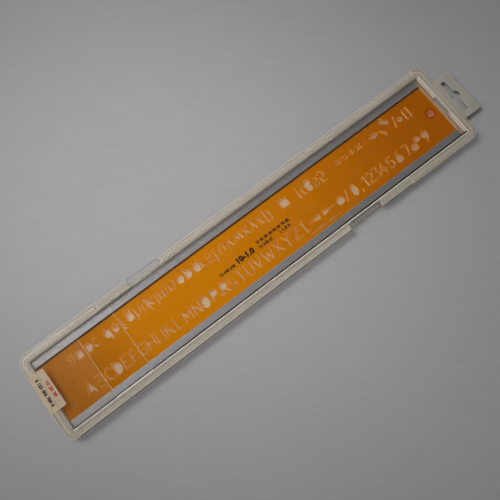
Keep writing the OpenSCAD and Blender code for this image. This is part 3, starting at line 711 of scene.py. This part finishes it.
def case_material(s, name, is_lid):
    """Yellowed clear plastic: see-through where it is one sheet, creamy where the rim's walls stack up."""
    material, tree, out, place = new_material(name)
    wear = wear_of(
        tree, place, scratch_scale=26.0, scratch_limit=0.665, dust_scale=330.0, dust_size=0.15, tone_scale=16.0)
    places = case_places(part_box("case_base")[1])
    axes = split(tree, place)
    edge = edge_of(tree)
    cream = mix_colours(tree, mapped(tree, wear["Tone"], 0.3, 0.7), s.cream, darker(s.cream, 0.86, 0.84, 0.80))
    cream = laid_over(tree, cream, s.wall_shade, mapped(tree, axes[0], *RIM_SHADE, 0.0, s.end_shade))
    cream = laid_over(tree, cream, s.wall_shade, upright_of(tree), 0.55)
    if is_lid:
        base, solid, grips = lid_looks(s, tree, place, places, wear["Tone"], cream)
    else:
        base, solid, floor = tray_looks(s, tree, place, places, axes, cream)
        edge = times(tree, edge, mapped(tree, floor, 0.0, 1.0, 1.0, 0.25))
    # Painted light on the faces inside the case's right end.
    stops = either(tree, inside(tree, place, places["far stop"]), inside(tree, place, places["near stop"]))
    base = laid_over(tree, base, s.stop, stops)
    base = laid_over(tree, base, s.edge_light, edge, 0.85)
    if is_lid:
        # Painted shade round the grip tabs' edges.
        base = laid_over(tree, base, s.grip_edge, times(tree, edge, grips))
    base = laid_over(tree, base, s.scratch, wear["Scratches"], 0.05)
    for mask, amount in ((stops, 0.48), (edge, 0.55), (wear["Scratches"], 0.02), (wear["Dust"], 0.12)):
        solid = thickened(tree, solid, mask, amount)
    slant = new_node(tree, "ShaderNodeLayerWeight", Blend=0.5).outputs["Facing"]
    shine = times(tree, maths(tree, "POWER", slant, 5.0), 0.6)
    solid = maths(tree, "ADD", solid, shine, clamp=True)
    solid = times(tree, solid, by_ray(tree, 1.0, s.lid_lamp_body if is_lid else s.tray_lamp_body))
    rough = maths(
        tree, "ADD", mapped(tree, wear["Tone"], 0.3, 0.7, 0.28, 0.38), times(tree, wear["Scratches"], 0.05),
        clamp=True)
    shader = new_node(
        tree, "ShaderNodeBsdfPrincipled", Base_Color=base, Roughness=rough, IOR=1.57,
        Normal=bumped(tree, wear["Tone"], strength=0.25, distance=0.0002))
    see_through(tree, out, shader, solid, s.tint)
    return material


def rail_material(s):
    """Satin anodised metal with fine lines along the extrusion and edges rubbed bright."""
    material, tree, out, place = new_material("satin_rail")
    wear = wear_of(
        tree, place, scratch_scale=30.0, scratch_limit=0.67, dust_scale=380.0, dust_size=0.12, tone_scale=20.0)
    drawn = new_node(tree, "ShaderNodeMapping", Vector=place, Scale=(12.0, 2600.0, 2600.0)).outputs[0]
    lines = noise(tree, drawn, 1.0, 3.0, 0.65)
    base = mix_colours(tree, mapped(tree, lines, 0.25, 0.75), darker(s.metal, 0.86, 0.86, 0.87), s.metal)
    rubbed_and_highlit = times(tree, edge_of(tree), mapped(tree, wear["Tone"], 0.35, 0.65, 0.25, 0.9))
    rubbed_and_highlit = either(tree, rubbed_and_highlit, times(tree, wear["Scratches"], 0.2))
    base = laid_over(tree, base, s.bare, rubbed_and_highlit)
    rough = maths(tree, "ADD", mapped(tree, lines, 0.2, 0.8, 0.36, 0.5), times(tree, rubbed_and_highlit, -0.1), clamp=True)
    height = maths(tree, "ADD", times(tree, lines, 0.5), times(tree, wear["Scratches"], -0.4))
    shader = new_node(
        tree, "ShaderNodeBsdfPrincipled", Base_Color=base, Roughness=rough, Metallic=0.4,
        Normal=bumped(tree, height, strength=0.2, distance=0.00005))
    tree.links.new(shader.outputs[0], out)
    return material


def tab_material(s):
    """Frosted plastic sheet with a fine moulded grain."""
    material, tree, out, place = new_material("frosted_tab")
    wear = wear_of(
        tree, place, scratch_scale=60.0, scratch_limit=0.66, dust_scale=500.0, dust_size=0.14, tone_scale=60.0)
    grain = noise(tree, place, 1900.0, 3.0)
    base = mix_colours(tree, mapped(tree, wear["Tone"], 0.3, 0.7), darker(s.frost, 0.9, 0.89, 0.86), s.frost)
    # Painted highlight on the tab's rounded edges.
    base = laid_over(tree, base, s.rubbed_and_highlit, edge_of(tree), 0.9)
    base = laid_over(tree, base, s.dust, wear["Dust"], 0.5)
    # Painted shade on the hanging slot's walls.
    base = laid_over(tree, base, s.slot, times(tree, inside(tree, place, TAB_SLOT), upright_of(tree)))
    axes = split(tree, place)
    from_mark = distance_from(tree, axes[0], maths(tree, "ABSOLUTE", axes[1]), PIN_MARK)
    off_ring = maths(tree, "ABSOLUTE", maths(tree, "SUBTRACT", from_mark, PIN_MARK_R))
    base = laid_over(tree, base, s.mark, mapped(tree, off_ring, *PIN_MARK_LINE, 0.0, 0.5))
    shader = new_node(
        tree, "ShaderNodeBsdfPrincipled", Base_Color=base, Roughness=mapped(tree, grain, 0.3, 0.7, 0.48, 0.66),
        IOR=1.5, Normal=bumped(tree, grain, strength=0.35, distance=0.00006))
    see_through(tree, out, shader, by_ray(tree, s.body, 1.0), s.tint)
    return material


def paper_material(s):
    """Coated paper gone yellow, with brown rubbed borders, fibres and faint creases."""
    material, tree, out, place = new_material("aged_paper")
    wear = wear_of(
        tree, place, scratch_scale=120.0, scratch_limit=0.67, dust_scale=900.0, dust_size=0.2, tone_scale=90.0)
    fibres = noise(tree, place, 1500.0, 5.0, 0.7)
    base = mix_colours(tree, mapped(tree, wear["Tone"], 0.35, 0.7), s.paper, s.stain)
    base = mix_colours(tree, 0.55, base, s.paper)
    base = laid_over(tree, base, s.fibre, mapped(tree, fibres, 0.45, 0.75), 0.35)
    base = laid_over(tree, base, s.stain, edge_of(tree), 0.7)
    base = laid_over(tree, base, s.dust, wear["Dust"], 0.5)
    height = maths(tree, "ADD", times(tree, fibres, 0.4), times(tree, wear["Scratches"], -0.6))
    shader = new_node(
        tree, "ShaderNodeBsdfPrincipled", Base_Color=base, Roughness=mapped(tree, fibres, 0.3, 0.7, 0.5, 0.72),
        Normal=bumped(tree, height, strength=0.35, distance=0.00008))
    see_through(tree, out, shader, by_ray(tree, 1.0, s.lamp_body), s.tint)
    return material


def ink_material(name, ink):
    """Printed ink, rubbed thin in places."""
    material, tree, out, place = new_material(name)
    rubbed_and_highlit = noise(tree, place, 1300.0, 4.0)
    thin = tuple(min(1.0, c * 2.2 + 0.03) for c in ink)
    shader = new_node(
        tree, "ShaderNodeBsdfPrincipled", Base_Color=mix_colours(tree, mapped(tree, rubbed_and_highlit, 0.5, 0.75), ink, thin),
        Roughness=mapped(tree, rubbed_and_highlit, 0.3, 0.7, 0.45, 0.65), Specular_IOR_Level=0.12,
        Normal=bumped(tree, rubbed_and_highlit, strength=0.2, distance=0.00003))
    tree.links.new(shader.outputs[0], out)
    return material


def floor_material(s):
    """Pale sheet with a faint brushed grain."""
    material, tree, out, place = new_material("pale_floor")
    brushed = new_node(
        tree, "ShaderNodeMapping", {"vector_type": "TEXTURE"}, Vector=place,
        Rotation=(0, 0, FLOOR_GRAIN), Scale=(1 / 30, 1 / 420, 1.0)).outputs[0]
    grain = noise(tree, brushed, 1.0, 4.0, 0.6)
    cloud = noise(tree, place, 3.0, 2.0)
    tone = maths(tree, "ADD", times(tree, grain, 0.6), times(tree, cloud, 0.4))
    dark, light = tuple(c * 0.93 for c in s.floor), tuple(min(1, c * 1.05) for c in s.floor)
    shader = new_node(
        tree, "ShaderNodeBsdfPrincipled", Base_Color=mix_colours(tree, mapped(tree, tone, 0.3, 0.7), dark, light),
        Roughness=mapped(tree, grain, 0.3, 0.7, 0.6, 0.75),
        Normal=bumped(tree, grain, strength=0.15, distance=0.0004))
    tree.links.new(shader.outputs[0], out)
    return material


# Pieces

def settings():
    """The sizes and colours of the whole object."""
    return bpy.context.scene.stencil_settings


class STENCIL_OT_case_tray(bpy.types.Operator):
    """Lower case shell, with rounded edges and yellowed clear plastic"""
    bl_idname = "stencil.case_tray"
    bl_label = "Case tray"

    def execute(self, context):
        s = settings().case
        tray = soften("tray", "case_base", s.edge)
        dress(tray, case_material(s, "tray_plastic", False), "tray", "case_clear", "case_base")
        return {"FINISHED"}


class STENCIL_OT_case_lid(bpy.types.Operator):
    """Upper case shell, with its clear window, creamy rim and grip tabs"""
    bl_idname = "stencil.case_lid"
    bl_label = "Case lid"

    def execute(self, context):
        s = settings().case
        lid = soften("lid", "case_lid", s.edge, fine=s.fine_edge)
        dress(lid, case_material(s, "lid_plastic", True), "lid", "lid_clear", "case_lid")
        return {"FINISHED"}


class STENCIL_OT_hang_tab(bpy.types.Operator):
    """Frosted hang tab with its slot and two pin marks"""
    bl_idname = "stencil.hang_tab"
    bl_label = "Hang tab"

    def execute(self, context):
        s = settings().tab
        tab = soften("hanger", "hang_tab", s.edge)
        dress(tab, tab_material(s), "tray", "tab_frosted", "hang_tab")
        return {"FINISHED"}


class STENCIL_OT_plate(bpy.types.Operator):
    """Orange lettering plate with eased slot edges, and the printed numbers between its rows"""
    bl_idname = "stencil.plate"
    bl_label = "Lettering plate"

    def execute(self, context):
        s = settings().plate
        plate = soften("lettering_plate", "stencil_plate", s.edge, weld=s.weld, segments=1, merge_flats=False)
        dress(plate, plate_material(s), "stencil", "plate_orange", "stencil_plate")
        ink = ink_material("plate_ink", s.ink)
        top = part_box("stencil_plate")[1].z + PRINT_LIFT
        for name, text, size, middle, bold in PLATE_PRINT:
            dress(numbers(name, text, size, (*middle, top), bold), ink, "stencil", "plate_orange")
        return {"FINISHED"}


class STENCIL_OT_rails(bpy.types.Operator):
    """The two satin metal edge rails"""
    bl_idname = "stencil.rails"
    bl_label = "Edge rails"

    def execute(self, context):
        s = settings().rails
        metal = rail_material(s)
        for name, node in (("rail_far", "upper_rail"), ("rail_near", "lower_rail")):
            dress(soften(name, node, s.edge), metal, "stencil", "rail_anodised", node)
        return {"FINISHED"}


class STENCIL_OT_label(bpy.types.Operator):
    """Paper label folded over the lid's end, with plain printed numbers"""
    bl_idname = "stencil.label"
    bl_label = "Label"

    def execute(self, context):
        s = settings().label
        paper = soften("paper_label", "label", s.edge, segments=1, corners=s.radius)
        dress(paper, paper_material(s), "lid", "label_paper", "label")
        across = math.radians(-90)
        inks = (ink_material("label_ink", s.ink), ink_material("label_red", s.band))
        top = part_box("label")[1].z + PRINT_LIFT
        heights = (top, top - LABEL_STEP)
        for (name, text, size, middle, bold), ink, height in zip(LABEL_PRINT, inks, heights):
            dress(numbers(name, text, size, (*middle, height), bold, across), ink, "lid", "label_paper")
        return {"FINISHED"}


class STENCIL_OT_stage(bpy.types.Operator):
    """Pale floor, soft light and the camera"""
    bl_idname = "stencil.stage"
    bl_label = "Stage"

    def execute(self, context):
        s = settings().stage
        size = s.floor_size
        mesh = bpy.data.meshes.new("floor")
        mesh.from_pydata([(-size, -size, 0), (size, -size, 0), (size, size, 0), (-size, size, 0)], [], [(0, 1, 2, 3)])
        floor = link(bpy.data.objects.new("floor", mesh))
        floor.location.z = -FLOOR_GAP
        floor.data.materials.append(floor_material(s))

        world = bpy.data.worlds.new("studio")
        world.use_nodes = True
        back = world.node_tree.nodes["Background"]
        back.inputs[0].default_value = (*s.room, 1.0)
        back.inputs[1].default_value = s.room_strength
        context.scene.world = world

        for name, place, aim, width, spread in LAMPS:
            lamp = bpy.data.lights.new(name, "AREA")
            lamp.shape = "SQUARE"
            lamp.size = width
            lamp.spread = math.radians(spread)
            lamp.energy = getattr(s, name + "_watts")
            lamp.color = s.lamp
            obj = link(bpy.data.objects.new(name, lamp))
            obj.location = place
            obj.rotation_euler = (Vector(aim) - Vector(place)).to_track_quat("-Z", "Y").to_euler()

        camera = bpy.data.cameras.new("camera")
        camera.sensor_width = 36.0
        camera.lens = s.lens * 1000
        camera.clip_start = 0.01
        eye = link(bpy.data.objects.new("camera", camera))
        back_axis = (Vector(s.camera_at) - Vector(s.camera_aim)).normalized()
        right = Vector(s.camera_up).cross(back_axis).normalized()
        up = back_axis.cross(right)
        turn = Matrix((right, up, back_axis)).transposed().to_4x4()
        eye.matrix_world = Matrix.Translation(s.camera_at) @ turn
        context.scene.camera = eye
        context.scene.view_settings.view_transform = "Standard"
        context.scene.cycles.transparent_max_bounces = 24
        return {"FINISHED"}


class STENCIL_PT_panel(bpy.types.Panel):
    """Lists the pieces of the stencil and its case"""
    bl_idname = "STENCIL_PT_panel"
    bl_label = "Lettering Stencil"
    bl_space_type = "VIEW_3D"
    bl_region_type = "UI"
    bl_category = "Stencil"

    def draw(self, context):
        for operator in PIECES:
            self.layout.operator(operator.bl_idname)


GROUPS = (PlateSettings, CaseSettings, RailSettings, TabSettings, LabelSettings, StageSettings, StencilSettings)
PIECES = (
    STENCIL_OT_case_tray, STENCIL_OT_case_lid, STENCIL_OT_hang_tab, STENCIL_OT_plate,
    STENCIL_OT_rails, STENCIL_OT_label, STENCIL_OT_stage,
)


def register():
    for cls in (*GROUPS, *PIECES, STENCIL_PT_panel):
        bpy.utils.register_class(cls)
    bpy.types.Scene.stencil_settings = PointerProperty(type=StencilSettings)


def unregister():
    del bpy.types.Scene.stencil_settings
    for cls in reversed((*GROUPS, *PIECES, STENCIL_PT_panel)):
        bpy.utils.unregister_class(cls)


def main():
    register()
    for operator in PIECES:
        group, name = operator.bl_idname.split(".")
        getattr(getattr(bpy.ops, group), name)()
    bpy.context.view_layer.update()


if __name__ == "__main__":
    main()
